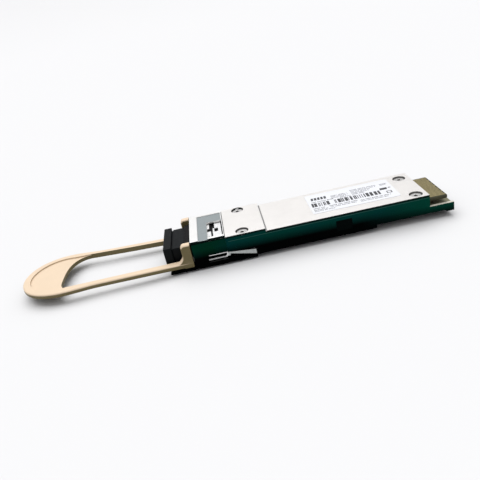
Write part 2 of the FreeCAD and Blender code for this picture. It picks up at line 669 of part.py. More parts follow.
# --- board -------------------------------------------------------------------
def circuit_board():
    board = wide_box(BOARD_X, BOARD_HALF_W, (BOARD_BOTTOM, BOARD_TOP))
    board = round_edges(board, 0.5, lambda e, m: along(e, Z_AXIS) and m.x > BOARD_X[1] - 0.1)
    board = board.makeChamfer(0.2, [e for e in board.Edges if along(e, Y_AXIS)
                                    and e.CenterOfMass.x > BOARD_X[1] - 0.1])
    for x, y, top in screw_axes():
        board = board.cut(rod(POST_R + 0.2, Vec(x, y, 0), Z_AXIS, 20))
    return board


def edge_contacts(z):
    solids = []
    for i in range(CONTACT_COUNT):
        y = (i - (CONTACT_COUNT - 1) / 2.0) * CONTACT_PITCH
        tip_x = BOARD_X[1] - (0.6 if i % 3 else 0.3)
        solids.append(box((66.2, tip_x), (y - CONTACT_W / 2, y + CONTACT_W / 2), (z, z + CONTACT_T)))
    return solids


# --- dust plug ---------------------------------------------------------------
def dust_plug():
    """Moulded plug: gripping head, neck and a hollow stub that enters the port."""
    head = wide_box((-8.6, -6.2), 6.9, (2.15, 7.6))
    head = round_edges(head, 0.3, lambda e, m: True)
    neck = wide_box((-6.4, PORT_MOUTH_X - 0.15), 6.35, (2.25, 7.05))
    neck = round_edges(neck, 0.25, lambda e, m: along(e, X_AXIS))
    stub = wide_box((PORT_MOUTH_X - 0.3, 1.4), PORT_HALF_W - 0.2,
                    (PORT_Z - PORT_HALF_H + 0.2, PORT_Z + PORT_HALF_H - 0.2))
    hollow = wide_box((-5.4, 2.0), PORT_HALF_W - 1.1,
                      (PORT_Z - PORT_HALF_H + 1.0, PORT_Z + PORT_HALF_H - 1.0))
    groove = wide_box((-6.35, -5.95), 20, (0, 20)).cut(wide_box((-7, -5), 6.1, (2.45, 6.8)))
    return join([head, neck, stub]).cut([hollow, groove]).removeSplitter()


def main():
    os.makedirs("parts", exist_ok=True)
    cover_under = DECK_TOP - COVER_CORE
    save("lower_housing", lower_housing())
    save("top_cover", top_cover())
    save("nose_cover", nose_cover())
    save("cover_screws", cover_screws())
    save("cover_gasket", cover_gasket())
    save("label_sheet", label_sheet())
    save("port_receptacle", port_receptacle())
    save("port_hook_left", latch_hook(1))
    save("port_hook_right", latch_hook(-1))
    save("ferrule", ferrule())
    save("guide_pins", guide_pins())
    save("ferrule_clamp", ferrule_clamp())
    save("fibre_ribbon", fibre_ribbon())
    save("engine_base", engine_base())
    save("lens_block", lens_block())
    save("laser_array", laser_array())
    save("photodiode_array", photodiode_array())
    save("laser_driver_chip", chip(31.2, -1.6, 2.4, 0.6, BOARD_TOP + 0.2))
    save("receiver_chip", chip(31.2, 1.6, 2.4, 0.6, BOARD_TOP + 0.2))
    save("transmit_retimer_chip", chip(38.5, -3.2, 4.2, 0.65))
    save("receive_retimer_chip", chip(38.5, 3.2, 4.2, 0.65))
    save("controller_chip", chip(47.0, 0.0, 4.0, 0.6))
    save("power_regulator_chip", chip(53.0, 0.0, 2.4, 0.6))
    save("inductors", inductors())
    save("chip_capacitors", passives(0.6, 0.35, 0.35, 8, 43.0, 1.7, (-5.6, 5.6)))
    save("chip_resistors", passives(0.4, 0.25, 0.2, 8, 60.6, 0.5, (-2.4, 2.4)))
    save("engine_thermal_pad", wide_box((29.8, 32.8), 3.2, (BOARD_TOP + 0.8, cover_under)))
    save("retimer_thermal_pad", wide_box((36.2, 40.8), 5.4, (BOARD_TOP + 0.65, cover_under)))
    save("board_thermal_pad", wide_box((36.0, 50.0), 5.0, (FLOOR_TOP, BOARD_BOTTOM)))
    save("circuit_board", circuit_board())
    save("edge_contacts_top", edge_contacts(BOARD_TOP))
    save("edge_contacts_bottom", edge_contacts(BOARD_BOTTOM - CONTACT_T))
    save("slider_frame", slider_frame())
    save("pull_tab", pull_tab())
    save("return_spring_left", return_spring(SPRING_Y))
    save("return_spring_right", return_spring(-SPRING_Y))
    save("dust_plug", dust_plug())


main()
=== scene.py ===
import json
import math
import random

import bmesh
import bpy
from mathutils import Matrix, Vector


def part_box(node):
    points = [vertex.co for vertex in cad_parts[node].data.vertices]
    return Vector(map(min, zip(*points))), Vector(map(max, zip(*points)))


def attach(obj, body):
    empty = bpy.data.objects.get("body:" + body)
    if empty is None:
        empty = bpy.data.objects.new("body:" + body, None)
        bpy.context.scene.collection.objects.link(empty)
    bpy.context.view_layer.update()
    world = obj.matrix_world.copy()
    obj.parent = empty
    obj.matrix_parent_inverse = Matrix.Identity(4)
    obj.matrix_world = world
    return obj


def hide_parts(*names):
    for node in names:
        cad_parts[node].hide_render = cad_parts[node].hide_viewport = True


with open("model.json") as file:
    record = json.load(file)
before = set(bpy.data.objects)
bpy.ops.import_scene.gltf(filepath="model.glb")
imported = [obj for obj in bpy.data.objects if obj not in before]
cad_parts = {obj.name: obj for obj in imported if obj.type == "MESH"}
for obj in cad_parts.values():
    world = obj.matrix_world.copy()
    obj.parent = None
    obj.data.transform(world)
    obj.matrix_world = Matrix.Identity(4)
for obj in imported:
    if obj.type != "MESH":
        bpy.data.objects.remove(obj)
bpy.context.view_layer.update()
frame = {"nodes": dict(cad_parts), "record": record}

MM = 0.001

# --- camera ----------------------------------------------------------------------
CAMERA_EYE = (2.1, -135.6, 70.2)   # mm
CAMERA_AZIMUTH = -0.02             # degrees from +Y towards +X
CAMERA_DROP = 26.66                # degrees that it looks down
CAMERA_ROLL = -12.36               # degrees about its own axis
LENS = 39.0                        # mm, on a sensor as wide as the next value
SENSOR = 36.0

# --- light and floor, in metres and degrees ----------------------------------------
SUN_STRENGTH = 2.5
SUN_SPREAD = 72
SUN_TILT = (-17, -8)               # about X and about Y
SKY_STOPS = ((0.0, 0.04), (0.22, 0.12), (0.42, 0.72), (0.7, 1.0))   # (height, grey)
FLOOR_COLOUR = (0.6, 0.6, 0.605, 1)
FLOOR_RADIUS = 4.0
FLOOR_RISE = 0.9                   # scale of the floor's upward turn
FLOOR_FLAT = 0.25                  # share of its radius that stays level
FLOOR_DROP = 0.00002               # gap between the object and the floor
FLOOR_RINGS = 24
FLOOR_SECTORS = 64

# --- refined copies ----------------------------------------------------------------
WELD = 0.0005          # mm; vertices closer than this are one
MERGE_ANGLE = 1.0      # degrees; faces that meet flatter than this are joined
BEVEL_SEGMENTS = 2
BEVEL_ANGLE = 28       # degrees; sharper edges are broken
SMOOTH_ANGLE = 35      # degrees; gentler edges are shaded round

# --- places of the further finishes, in mm -----------------------------------------
BELLY_RISE_X = 39.8          # station where the belly is raised
ARM_ROOT = 1.5               # the slider's arms carry painted shade to this far behind the nose's front edge
RECESS_DEPTH = (0.2, 0.3)    # faces of the nose's recess, under its top
TRAY_FLOOR_EDGE = 0.9        # the bare tray starts this far in from the side
TRAY_RIM = 0.97              # the tray wall's top, lighter as a painted highlight, reaches this far in from the side
LEDGE_W = 0.6                # and so far the ledges beside the covers
LEDGE_DROP = 1.0             # their lowest face, under the label deck
WING_REACH = 0.55            # the slider's outer faces lie this near to the side
SCREW_SINK = 0.4             # from the cover's face down to a screw head
SOCKET_R = 0.6               # holds the faces of a screw's socket
SOCKET_DEPTH = (0.08, 0.4)   # and these depths under the screw head's top
COUNTERBORE_R = 1.95         # holds the faces of its counterbore
COUNTERBORE_TOP = 0.05       # which start this far under the cover's face
GROOVE_DEPTH = (0.02, 0.25)  # faces of the groove at the plate's step, under the label deck
GROOVE_CLEAR = 5.0           # least distance from that groove to the nose and to the label
SIDE_REST_X = (28.6, 33.3)   # holds the shallow rest in each side wall
SIDE_REST_Z = (2.7, 6.1)
SIDE_REST_DEPTH = (0.03, 0.4)
COVER_EDGE = 0.1             # reach of the covers' upright edges, in from the nose's widest point
TAB_TIP_R = 11.35            # outer radius of the tab's tip
PAD_R = 9.25                 # radius of its thumb pad
PAD_WALL_T = 0.4             # the pad's wall lies this near to that radius
PAD_WALL_LOW = 1.0           # its lowest face, above the tab's underside
PAD_WALL_FAR = 6.2           # run of the wall along the arm at +Y
PAD_WALL_NEAR = 1.8          # and along the arm at -Y

# --- print and seams, in mm unless stated --------------------------------------------
INK_T = 0.012                # height of the print above the label
INK_GAP = 0.001              # gap between the two
PRINT_TURN = -2.0            # degrees that the print leans on the label
BLOCK_W = (0.16, 0.34)       # narrowest and widest block in a line of print
BLOCK_H = (0.34, 0.42, 0.42)
BLOCK_GAP = 0.11
GROUP_GAP = 0.26             # added between two groups of blocks
SEAM_START = 0.7             # from the nose's rear edge
SEAM_END = 0.3               # to the cover's rear edge
SEAM_W = 0.16
SEAM_T = 0.05
SEAM_OUT = 0.01              # its middle lies this far outside the wall
SEAM_DROP = 0.78             # its middle lies this far under the label deck

# --- stations of the object, in metres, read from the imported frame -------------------
HOUSING_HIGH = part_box("lower_housing")[1]
COVER_LOW, COVER_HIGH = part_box("top_cover")
NOSE_LOW, NOSE_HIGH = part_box("nose_cover")
LABEL_LOW, LABEL_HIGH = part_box("label_sheet")
TAB_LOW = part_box("pull_tab")[0]
ARM_ROOT_END = NOSE_LOW[0] + ARM_ROOT * MM


# --- camera, light and floor --------------------------------------------------
def make_camera():
    """Reference view, rolled about the camera's own axis."""
    azimuth = math.radians(CAMERA_AZIMUTH)
    drop = math.radians(CAMERA_DROP)
    roll = math.radians(CAMERA_ROLL)
    forward = Vector((math.sin(azimuth) * math.cos(drop),
                      math.cos(azimuth) * math.cos(drop),
                      -math.sin(drop)))
    level_right = forward.cross(Vector((0, 0, 1))).normalized()
    level_up = level_right.cross(forward)
    right = math.cos(roll) * level_right + math.sin(roll) * level_up
    up = right.cross(forward)
    turn = Matrix((right, up, -forward)).transposed()
    data = bpy.data.cameras.new("reference_camera")
    data.lens = LENS
    data.sensor_width = SENSOR
    data.clip_start = 0.005
    data.clip_end = 20
    camera = bpy.data.objects.new("reference_camera", data)
    camera.matrix_world = Matrix.Translation(Vector(CAMERA_EYE) * MM) @ turn.to_4x4()
    bpy.context.scene.collection.objects.link(camera)
    bpy.context.scene.camera = camera


def make_lights():
    """A wide overhead lamp a little behind the object, and a dome brighter above than below."""
    lamp_data = bpy.data.lights.new("overhead_soft", "SUN")
    lamp_data.energy = SUN_STRENGTH
    lamp_data.angle = math.radians(SUN_SPREAD)
    lamp = bpy.data.objects.new("overhead_soft", lamp_data)
    lamp.rotation_euler = (math.radians(SUN_TILT[0]), math.radians(SUN_TILT[1]), 0)
    bpy.context.scene.collection.objects.link(lamp)

    world = bpy.data.worlds.new("studio")
    bpy.context.scene.world = world
    world.use_nodes = True
    nodes = world.node_tree.nodes
    links = world.node_tree.links
    nodes.clear()
    out = nodes.new("ShaderNodeOutputWorld")
    sky = nodes.new("ShaderNodeBackground")
    coord = nodes.new("ShaderNodeTexCoord")
    split = nodes.new("ShaderNodeSeparateXYZ")
    ramp = nodes.new("ShaderNodeValToRGB")
    while len(ramp.color_ramp.elements) < len(SKY_STOPS):
        ramp.color_ramp.elements.new(0.5)
    for element, (height, grey) in zip(ramp.color_ramp.elements, SKY_STOPS):
        element.position = height
        element.color = (grey, grey, grey * 1.01, 1)
    links.new(coord.outputs["Generated"], split.inputs[0])
    links.new(split.outputs["Z"], ramp.inputs[0])
    links.new(ramp.outputs[0], sky.inputs["Color"])
    links.new(sky.outputs[0], out.inputs["Surface"])


def floor_mesh():
    """A disc of rings that turns up gently far away; only low views see its edge."""
    work = bmesh.new()
    rings = []
    for step in range(FLOOR_RINGS + 1):
        radius = FLOOR_RADIUS * step / FLOOR_RINGS
        rise = FLOOR_RISE * max(0.0, radius / FLOOR_RADIUS - FLOOR_FLAT) ** 2
        ring = []
        for turn in range(FLOOR_SECTORS):
            angle = 2 * math.pi * turn / FLOOR_SECTORS
            place = (radius * math.cos(angle), radius * math.sin(angle), rise - FLOOR_DROP)
            ring.append(work.verts.new(place))
            if step == 0:
                break
        rings.append(ring)
    for turn in range(FLOOR_SECTORS):
        following = (turn + 1) % FLOOR_SECTORS
        work.faces.new((rings[0][0], rings[1][turn], rings[1][following]))
        for inner, outer in zip(rings[1:], rings[2:]):
            work.faces.new((inner[turn], outer[turn], outer[following], inner[following]))
    for face in work.faces:
        face.smooth = True
    mesh = bpy.data.meshes.new("floor")
    work.to_mesh(mesh)
    work.free()
    return mesh


def make_floor():
    """The plain pale floor, dull so that it mirrors nothing."""
    mesh = floor_mesh()
    floor = bpy.data.objects.new("floor", mesh)
    bpy.context.scene.collection.objects.link(floor)
    material = bpy.data.materials.new("pale_floor")
    material.use_nodes = True
    bsdf = material.node_tree.nodes["Principled BSDF"]
    bsdf.inputs["Base Color"].default_value = FLOOR_COLOUR
    bsdf.inputs["Roughness"].default_value = 0.95
    bsdf.inputs["Specular IOR Level"].default_value = 0.0
    mesh.materials.append(material)


# --- material kit --------------------------------------------------------------
class Shader:
    """A Principled material with small helpers for procedural detail."""

    # sockets of the Mix node when it mixes colours
    MIX_FACTOR = 0
    MIX_FIRST = 6
    MIX_SECOND = 7
    MIX_RESULT = 2

    def __init__(self, name):
        self.material = bpy.data.materials.new(name)
        self.material.use_nodes = True
        self.nodes = self.material.node_tree.nodes
        self.links = self.material.node_tree.links
        self.bsdf = self.nodes["Principled BSDF"]
        self.coord = self.nodes.new("ShaderNodeTexCoord")

    def set(self, **values):
        """Fixed inputs of the shader, with _ for each space in a name."""
        for key, value in values.items():
            self.bsdf.inputs[key.replace("_", " ")].default_value = value
        return self

    def scaled(self, scale):
        """Object coordinates stretched by a scale for each axis."""
        mapping = self.nodes.new("ShaderNodeMapping")
        mapping.inputs["Scale"].default_value = scale
        self.links.new(self.coord.outputs["Object"], mapping.inputs["Vector"])
        return mapping.outputs[0]

    def noise(self, size_mm, detail=4.0, rough=0.6, stretch=(1, 1, 1)):
        """Noise whose features are about size_mm across."""
        node = self.nodes.new("ShaderNodeTexNoise")
        node.inputs["Scale"].default_value = 1.0
        node.inputs["Detail"].default_value = detail
        node.inputs["Roughness"].default_value = rough
        scale = tuple(s / (size_mm * MM) for s in stretch)
        self.links.new(self.scaled(scale), node.inputs["Vector"])
        return node.outputs["Fac"]

    def speckle(self, size_mm):
        """Fine cells about size_mm across."""
        node = self.nodes.new("ShaderNodeTexVoronoi")
        node.inputs["Scale"].default_value = 1.0
        self.links.new(self.scaled((1 / (size_mm * MM),) * 3), node.inputs["Vector"])
        return node.outputs["Distance"]

    def ramp(self, source, stops):
        """Colour from stops of (place, colour)."""
        node = self.nodes.new("ShaderNodeValToRGB")
        elements = node.color_ramp.elements
        while len(elements) < len(stops):
            elements.new(0.5)
        for element, (place, colour) in zip(elements, stops):
            element.position = place
            element.color = tuple(colour) + (1,)
        self.links.new(source, node.inputs[0])
        return node.outputs[0]

    def remap(self, source, from_low, from_high, to_low, to_high):
        """One range of values carried onto another."""
        node = self.nodes.new("ShaderNodeMapRange")
        node.inputs["From Min"].default_value = from_low
        node.inputs["From Max"].default_value = from_high
        node.inputs["To Min"].default_value = to_low
        node.inputs["To Max"].default_value = to_high
        self.links.new(source, node.inputs["Value"])
        return node.outputs[0]

    def climb(self, coordinate, axis, low, high):
        """0 at the low value of one axis of a coordinate and 1 at the high one."""
        split = self.nodes.new("ShaderNodeSeparateXYZ")
        self.links.new(self.coord.outputs[coordinate], split.inputs[0])
        return self.remap(split.outputs[axis], low, high, 0, 1)

    def mix(self, factor, first, second):
        """Blend of two colours, each a socket or a plain colour."""
        node = self.nodes.new("ShaderNodeMix")
        node.data_type = "RGBA"
        self.links.new(factor, node.inputs[self.MIX_FACTOR])
        for socket, value in ((self.MIX_FIRST, first), (self.MIX_SECOND, second)):
            if isinstance(value, tuple):
                node.inputs[socket].default_value = value + (1,)
            else:
                self.links.new(value, node.inputs[socket])
        return node.outputs[self.MIX_RESULT]

    def shades(self, source, colour, spread):
        """Colour that varies a little about its mean with a noise source."""
        dark = tuple(c * (1 - spread) for c in colour)
        light = tuple(min(1.0, c * (1 + spread)) for c in colour)
        return self.ramp(source, ((0.3, dark), (0.7, light)))

    def colour(self, source):
        self.links.new(source, self.bsdf.inputs["Base Color"])
        return self

    def roughness(self, source, low, high):
        self.links.new(self.remap(source, 0.3, 0.7, low, high), self.bsdf.inputs["Roughness"])
        return self

    def bump(self, *layers):
        """Each layer is (source, depth in mm)."""
        normal = None
        for source, depth in layers:
            node = self.nodes.new("ShaderNodeBump")
            node.inputs["Strength"].default_value = 1.0
            node.inputs["Distance"].default_value = depth * MM
            self.links.new(source, node.inputs["Height"])
            if normal is not None:
                self.links.new(normal, node.inputs["Normal"])
            normal = node.outputs[0]
        self.links.new(normal, self.bsdf.inputs["Normal"])
        return self


# --- materials -----------------------------------------------------------------
BEIGE = (0.60, 0.475, 0.345)


def painted_housing():
    """Glossy plating, teal with greener patches; towards the belly it is painted nearly black, as painted
    shade.
    """
    s = Shader("teal_housing").set(Metallic=0.95, Specular_IOR_Level=0.1)
    body = s.ramp(s.noise(11.0, 2.0), (
        (0.35, (0.0004, 0.0255, 0.0265)),
        (0.65, (0.0005, 0.029, 0.0225)),
    ))
    nose = s.ramp(s.noise(5.0, 2.0), (
        (0.35, (0.0002, 0.0215, 0.0165)),
        (0.65, (0.0003, 0.0205, 0.0100)),
    ))
    rear = s.climb("Object", "X", (BELLY_RISE_X - 4) * MM, COVER_HIGH[0])
    teal = s.mix(s.climb("Object", "X", NOSE_HIGH[0], NOSE_HIGH[0] + 0.2 * MM), nose, body)
    teal = s.mix(rear, teal, (0.0005, 0.037, 0.0235))
    # painted shade: the sides turn nearly black towards the belly, and the dark band starts higher where
    # the belly is raised
    low_belly = s.climb("Object", "Z", 3.7 * MM, 6.3 * MM)
    raised_belly = s.climb("Object", "Z", 1.6 * MM, 4.6 * MM)
    above_painted_shade = s.mix(rear, low_belly, raised_belly)
    s.colour(s.mix(above_painted_shade, (0.0003, 0.0006, 0.0006), teal))
    s.roughness(s.noise(2.0), 0.24, 0.36)
    return s.bump((s.noise(0.25, 3.0), 0.004)).material


def ledge_painted_shade():
    """Dark, dull plating as painted shade, on the narrow ledges beside the covers and on the covers'
    upright edges.
    """
    s = Shader("ledge_painted_shade").set(Specular_IOR_Level=0.1)
    s.colour(s.shades(s.noise(3.0), (0.002, 0.009, 0.008), 0.2))
    s.roughness(s.noise(0.8), 0.6, 0.75)
    return s.bump((s.noise(0.25, 3.0), 0.004)).material


def satin_metal(name, colour, rough=(0.30, 0.42), metallic=0.55, grain=(1, 12, 12), depth=0.002):
    """Metal with a grain that runs along X and a fine speckle."""
    s = Shader(name).set(Metallic=metallic)
    brushed = s.noise(3.0, 5.0, 0.7, grain)
    s.colour(s.shades(s.noise(6.0), colour, 0.03))
    s.roughness(brushed, *rough)
    return s.bump((brushed, depth), (s.speckle(0.35), depth)).material


def tab_plastic():
    """Soft beige moulding; its upright faces are painted darker and more olive than its top, as painted
    shade.
    """
    s = Shader("beige_tab").set(Specular_IOR_Level=0.25)
    facing_up = s.climb("Normal", "Z", 0.0, 0.30)
    top = s.shades(s.noise(5.0), BEIGE, 0.02)
    # painted shade: the colour of the upright faces, darker than the top because less light falls on them
    side = s.shades(s.noise(5.0), (0.125, 0.10, 0.042), 0.05)
    s.colour(s.mix(facing_up, side, top))
    s.roughness(s.noise(0.6), 0.42, 0.56)
    return s.bump((s.noise(0.2, 2.0), 0.008)).material


def moulded(name, colour, rough, grain_mm=0.16, depth=0.006, **extra):
    """Plain material with a fine even grain."""
    s = Shader(name).set(**extra)
    s.colour(s.shades(s.noise(5.0), colour, 0.05))
    s.roughness(s.noise(0.6), *rough)
    return s.bump((s.noise(grain_mm, 2.0), depth)).material


def label_film():
    """White film with a faint fibre."""
    s = Shader("label_film").set(Specular_IOR_Level=0.4)
    fibre = s.noise(0.3, 4.0, 0.7)
    s.colour(s.shades(s.noise(4.0), (0.60, 0.61, 0.64), 0.02))
    s.roughness(fibre, 0.45, 0.6)
    return s.bump((fibre, 0.003)).material


def board_mask():
    """Dark lacquer of the board over a faint weave."""
    s = Shader("board_mask").set(Specular_IOR_Level=0.3)
    weave = s.noise(0.5, 2.0)
    s.colour(s.shades(s.noise(2.0), (0.030, 0.028, 0.009), 0.2))
    s.roughness(weave, 0.3, 0.45)
    return s.bump((weave, 0.004)).material


def make_materials():
    """Every material, by the name of its slot or of its finish."""
    black_plastic = {"Specular_IOR_Level": 0.055}
    return {
        "housing": painted_housing(),
        # painted shade on the ledges beside the covers and on the covers' upright edges
        "ledge": ledge_painted_shade(),
        # painted highlight: a lighter teal for the line along the side seams
        "seam": satin_metal("seam_painted_highlight", (0.018, 0.070, 0.058), (0.35, 0.5), 0.9),
        "cover": satin_metal("bright_cover", (0.70, 0.68, 0.662)),
        "nose": satin_metal("bright_nose", (0.71, 0.705, 0.695)),
        # painted reflection: darker grey for the nose's recess, which mirrors a dimmer surround
        "recess": satin_metal("recess_painted_reflection", (0.20, 0.225, 0.232), (0.5, 0.65), 0.3, (1, 4, 4), 0.004),
        "screw": satin_metal("screw_steel", (0.60, 0.59, 0.58), (0.25, 0.35), 0.9),
        "side_rest": moulded("side_rest", (0.0004, 0.0016, 0.0016), (0.6, 0.75), Specular_IOR_Level=0.02),
        # painted shade: dark steel in the screws' sockets and on the roots of the slider's arms
        "shade": satin_metal("painted_shade_steel", (0.09, 0.085, 0.08), (0.5, 0.6), 0.6),
        # painted shade: darker grey round each screw head
        "ring": satin_metal("counterbore_painted_shade", (0.20, 0.195, 0.19), (0.5, 0.6), 0.6),
        # painted shade: grey line in the groove at the plate's step
        "groove": satin_metal("step_groove_painted_shade", (0.24, 0.24, 0.24), (0.5, 0.6), 0.5),
        "wing": satin_metal("stainless_side", (0.42, 0.44, 0.43), (0.3, 0.42), 0.85),
        "gasket": moulded("gasket_rubber", (0.05, 0.05, 0.055), (0.6, 0.8)),
        "label": label_film(),
        "receptacle": moulded("receptacle_black", (0.003, 0.003, 0.0035), (0.4, 0.55), **black_plastic),
        "ferrule": moulded("ferrule_polymer", (0.12, 0.08, 0.05), (0.35, 0.5)),
        "pin": satin_metal("pin_steel", (0.75, 0.75, 0.76), (0.15, 0.25), 1.0),
        "stainless": satin_metal("stainless_strip", (0.86, 0.86, 0.86), (0.24, 0.36), 0.85),
        "ribbon": moulded("ribbon_coating", (0.05, 0.42, 0.48), (0.35, 0.5)),
        "ceramic_base": moulded("white_ceramic", (0.7, 0.68, 0.62), (0.4, 0.55)),
        "lens": moulded("amber_lens", (0.6, 0.36, 0.08), (0.08, 0.15)),
        "semiconductor": moulded("polished_die", (0.08, 0.08, 0.12), (0.1, 0.2), Metallic=0.6),
        "chip": moulded("chip_package", (0.02, 0.02, 0.022), (0.4, 0.55)),
        "ferrite": moulded("dark_ferrite", (0.04, 0.04, 0.045), (0.5, 0.7)),
        "capacitor": moulded("tan_ceramic", (0.36, 0.22, 0.11), (0.4, 0.55)),
        "thermal_pad": moulded("thermal_silicone", (0.3, 0.36, 0.45), (0.6, 0.8)),
        "board": board_mask(),
        "gold": satin_metal("gold_plating", (0.36, 0.30, 0.15), (0.3, 0.42), 0.9),
        "tray": satin_metal("bare_tray", (0.20, 0.19, 0.12), (0.4, 0.55), 0.7),
        # painted highlight: light metal on the top edge of the tray's side walls
        "edge_highlight": satin_metal("painted_highlight_edge", (0.62, 0.60, 0.52), (0.3, 0.45), 0.8),
        "tab": tab_plastic(),
        "pad_wall": moulded("pad_wall", BEIGE, (0.42, 0.56), Specular_IOR_Level=0.25),
        "spring": satin_metal("spring_wire", (0.6, 0.6, 0.62), (0.2, 0.3), 1.0),
        "plug": moulded("plug_black", (0.0045, 0.0055, 0.0065), (0.4, 0.52), 0.2, 0.008, **black_plastic),
        "ink": moulded("label_ink", (0.02, 0.02, 0.024), (0.5, 0.65), 0.1, 0.001),
        "fine_ink": moulded("fine_label_ink", (0.10, 0.10, 0.12), (0.5, 0.65), 0.1, 0.001),
    }


# --- pieces -------------------------------------------------------------------
def body_of_node(node):
    bodies = frame["record"]["behaviour"]["bodies"]
    return next(body for body, members in bodies.items() if node in members)


def slot_of_node(node):
    return next(p["material_slot"] for p in frame["record"]["subparts"] if p["node"] == node)


def finish_piece(piece, body, material):
    """One material for the whole piece, which rides on its body."""
    piece.data.materials.clear()
    piece.data.materials.append(material)
    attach(piece, body)


def piece_from(work, name):
    """A new piece with the shape that was built in work."""
    mesh = bpy.data.meshes.new(name)
    work.to_mesh(mesh)
    work.free()
    piece = bpy.data.objects.new(name, mesh)
    bpy.context.scene.collection.objects.link(piece)
    return piece


def smooth_by_angle(piece):
    """Round shading across gentle edges; broad flat faces keep their own direction."""
    mesh = piece.data
    for polygon in mesh.polygons:
        polygon.use_smooth = True
    work = bmesh.new()
    work.from_mesh(mesh)
    limit = math.radians(SMOOTH_ANGLE)
    for edge in work.edges:
        if len(edge.link_faces) == 2:
            edge.smooth = edge.calc_face_angle(0.0) < limit
    normals = [Vector((0, 0, 1))] * len(mesh.loops)
    for vert in work.verts:
        for loop in vert.link_loops:
            total = Vector((0, 0, 0))
            for face in smooth_fan(loop):
                total += face.normal * face.calc_area()
            normals[loop.index] = total.normalized() if total.length > 0 else loop.face.normal.copy()
    work.to_mesh(mesh)
    work.free()
    mesh.normals_split_custom_set(normals)


def smooth_fan(loop):
    """Faces round the loop's vertex that can be reached over smooth edges."""
    fan = [loop.face]
    for face in fan:   # grows while it is read
        for edge in face.edges:
            if loop.vert in edge.verts and edge.smooth:
                fan += [other for other in edge.link_faces if other not in fan]
    return fan


def split_arm_roots(work):
    """Cut the slider's arms across, so that the root of each can carry painted shade."""
    everything = list(work.verts) + list(work.edges) + list(work.faces)
    bmesh.ops.bisect_plane(work, geom=everything, plane_co=(ARM_ROOT_END, 0, 0), plane_no=(1, 0, 0))


def refined(node, width_mm, materials):
    """Copy of a CAD node with its sharp edges broken by a small round."""
    source = frame["nodes"][node]
    mesh = source.data.copy()
    piece = bpy.data.objects.new(node + "_finished", mesh)
    bpy.context.scene.collection.objects.link(piece)
    work = bmesh.new()
    work.from_mesh(mesh)
    bmesh.ops.remove_doubles(work, verts=work.verts, dist=WELD * MM)
    flat = math.radians(MERGE_ANGLE)
    bmesh.ops.dissolve_limit(work, angle_limit=flat, verts=work.verts, edges=work.edges)
    if node == "slider_frame":
        split_arm_roots(work)
    work.to_mesh(mesh)
    work.free()
    bevel = piece.modifiers.new("edge_break", "BEVEL")
    bevel.width = width_mm * MM
    bevel.segments = BEVEL_SEGMENTS
    bevel.limit_method = "ANGLE"
    bevel.angle_limit = math.radians(BEVEL_ANGLE)
    bevel.harden_normals = False
    bpy.context.view_layer.update()
    depsgraph = bpy.context.evaluated_depsgraph_get()
    piece.data = bpy.data.meshes.new_from_object(piece.evaluated_get(depsgraph))
    piece.modifiers.clear()
    smooth_by_angle(piece)
    slot = slot_of_node(node)
    finish_piece(piece, body_of_node(node), materials[slot])
    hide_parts(node)
    return piece


def paint_nodes(materials, skip):
    """Materials of the CAD nodes that show as they are."""
    for node, obj in frame["nodes"].items():
        if node in skip:
            continue
        obj.data.materials.clear()
        obj.data.materials.append(materials[slot_of_node(node)])


def further_finish(piece, material, choose):
    """Give the faces that pass the test a further material."""
    piece.data.materials.append(material)
    index = len(piece.data.materials) - 1
    for polygon in piece.data.polygons:
        if choose(polygon.center, polygon.normal):
            polygon.material_index = index


def head_centres():
    """Middle of each screw head, from the group's separate solids."""
    work = bmesh.new()
    work.from_mesh(frame["nodes"]["cover_screws"].data)
    bmesh.ops.remove_doubles(work, verts=work.verts, dist=WELD * MM)
    left = set(work.verts)
    centres = []
    while left:
        island = {left.pop()}
        edge_of_search = list(island)
        while edge_of_search:
            for edge in edge_of_search.pop().link_edges:
                for vert in edge.verts:
                    if vert in left:
                        left.discard(vert)
                        island.add(vert)
                        edge_of_search.append(vert)
        xs = [v.co.x for v in island]
        ys = [v.co.y for v in island]
        centres.append(((min(xs) + max(xs)) / 2, (min(ys) + max(ys)) / 2))
    work.free()
    return centres


HEAD_CENTRES = head_centres()


# --- face tests for the further finishes: each takes a face's centre and normal --
def within(value, limits_mm):
    """Whether a value in metres lies between two limits in mm."""
    return limits_mm[0] * MM < value < limits_mm[1] * MM


def in_from_side(centre):
    """How far inside the side walls' outer faces a point lies."""
    return HOUSING_HIGH[1] - abs(centre.y)


def head_distance(centre):
    """From the axis of the nearest screw."""
    return min(math.hypot(centre.x - x, centre.y - y) for x, y in HEAD_CENTRES)


def depth_under_cover(centre):
    """How far a point near a screw lies under the cover's face there."""
    front = centre.x < (COVER_LOW[0] + COVER_HIGH[0]) / 2
    return (COVER_HIGH[2] if front else LABEL_LOW[2]) - centre.z


def nose_recess_face(centre, normal):
    """Floor of the lowered area in the nose, given a darker grey as a painted reflection of a dimmer
    surround.
    """
    return normal.z > 0.95 and within(NOSE_HIGH[2] - centre.z, RECESS_DEPTH)


def tray_floor_face(centre, normal):
    """Inside of the tray behind the cover."""
    inside = centre.x > COVER_HIGH[0] and in_from_side(centre) > TRAY_FLOOR_EDGE * MM
    return inside and normal.z > -0.2 and normal.x < 0.5


def tray_wall_top(centre, normal):
    """Top of the tray's side walls, given a light colour as a painted highlight."""
    return centre.x > COVER_HIGH[0] and in_from_side(centre) < TRAY_RIM * MM and normal.z > 0.7


def ledge_face(centre, normal):
    """Top of the side walls, beside the covers, which takes painted shade for the shadow under the
    covers' edges.
    """
    high = centre.z > LABEL_LOW[2] - LEDGE_DROP * MM
    beside = centre.x < COVER_HIGH[0] and in_from_side(centre) < LEDGE_W * MM
    return high and beside and normal.z > 0.6


def side_rest_face(centre, normal):
    """Floor of the shallow rest in each side wall, beside the label."""
    inside = within(centre.x, SIDE_REST_X) and within(centre.z, SIDE_REST_Z)
    return inside and within(in_from_side(centre), SIDE_REST_DEPTH) and abs(normal.y) > 0.7


